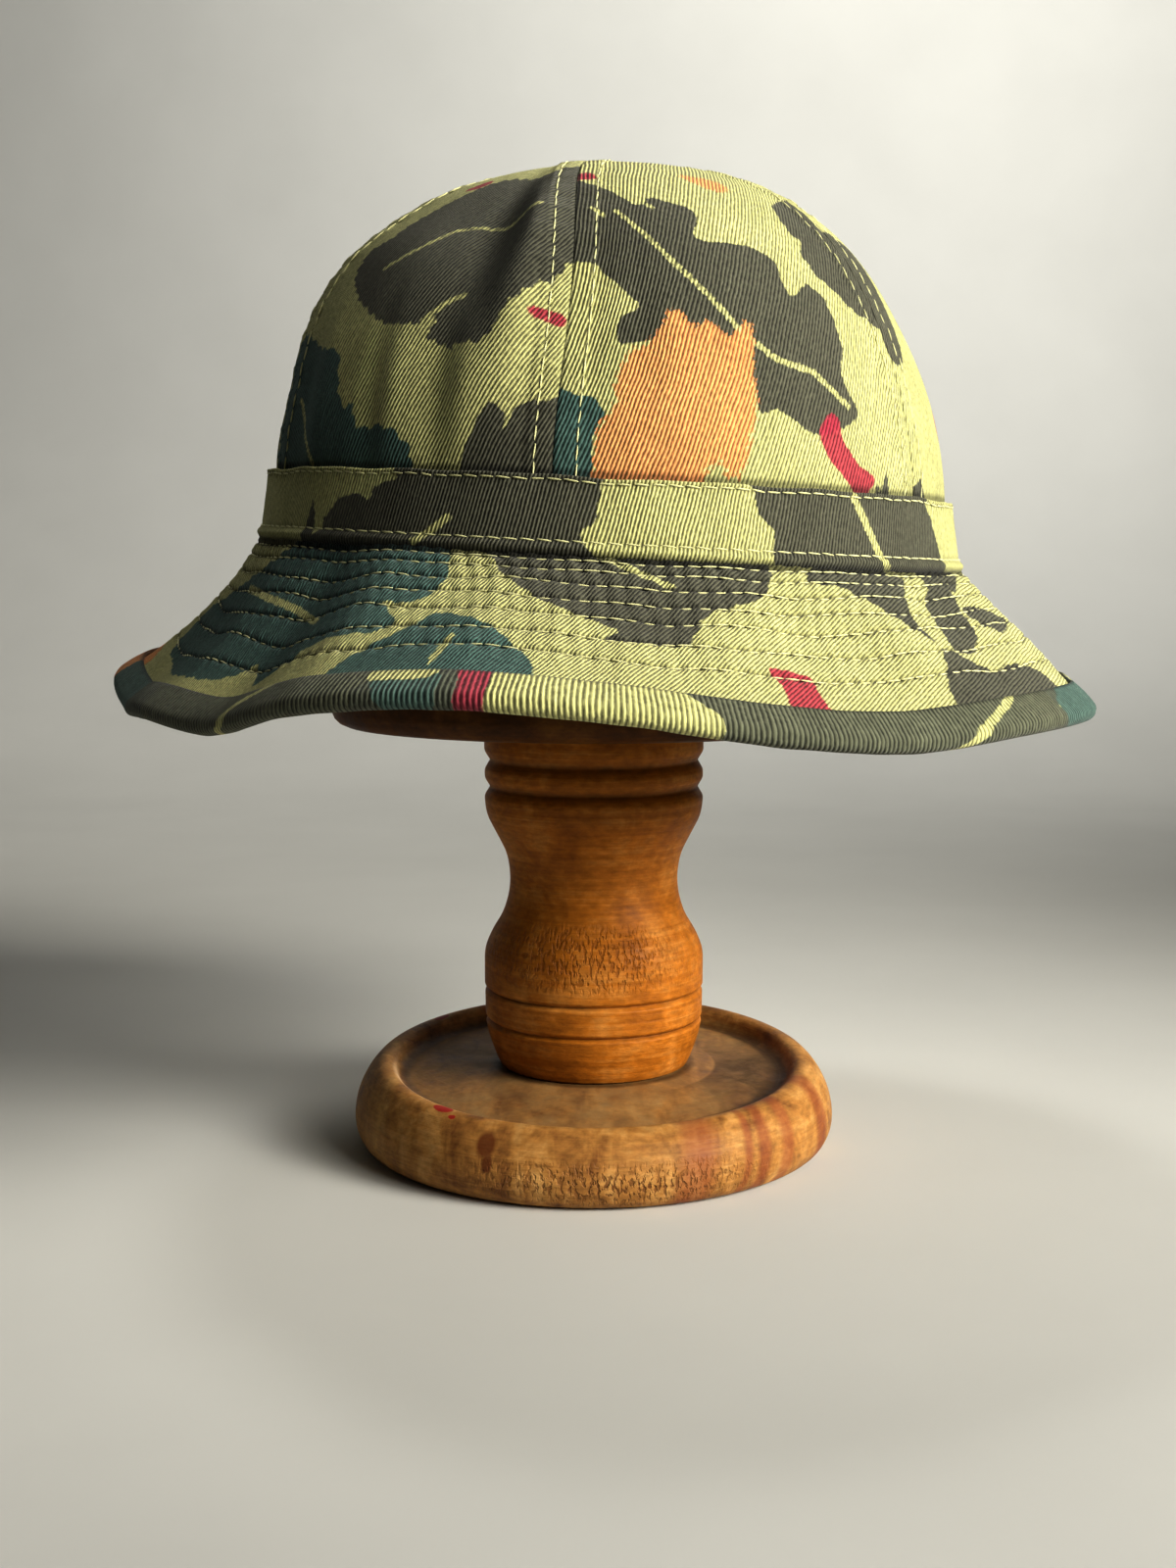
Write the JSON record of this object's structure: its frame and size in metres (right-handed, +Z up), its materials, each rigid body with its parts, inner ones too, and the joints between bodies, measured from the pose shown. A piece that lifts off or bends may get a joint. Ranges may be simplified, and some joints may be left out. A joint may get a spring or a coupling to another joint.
{
  "type": "bucket hat on a turned wooden hat stand",
  "caption": "Soft cotton bucket hat with a panelled crown, sewn band, wavy stitched brim and rolled binding in leaf camouflage, resting on a turned wooden hat stand.",
  "frame": {"origin": "middle of the flat underside of the stand's base, on the stand's axis", "axes": "+Z up along the stand's axis, -Y towards the hat's front, +X towards the right of the picture"},
  "size_m": [0.2642, 0.2724, 0.2651],
  "materials": {
    "printed_cotton": "matte twill cotton, printed with a leaf camouflage",
    "binding_cotton": "matte twill cotton cut on the bias, printed with a leaf camouflage",
    "turned_wood": "worn satin varnish"
  },
  "bodies": {
    "root": {"crown_panel_front_left": "printed_cotton", "crown_panel_front_right": "printed_cotton", "crown_panel_right": "printed_cotton", "crown_panel_back_right": "printed_cotton", "crown_panel_back_left": "printed_cotton", "crown_panel_left": "printed_cotton", "hat_band": "printed_cotton", "brim": "printed_cotton", "brim_binding": "binding_cotton", "stand_base": "turned_wood", "stand_column": "turned_wood", "stand_block": "turned_wood"}
  },
  "joints": []
}
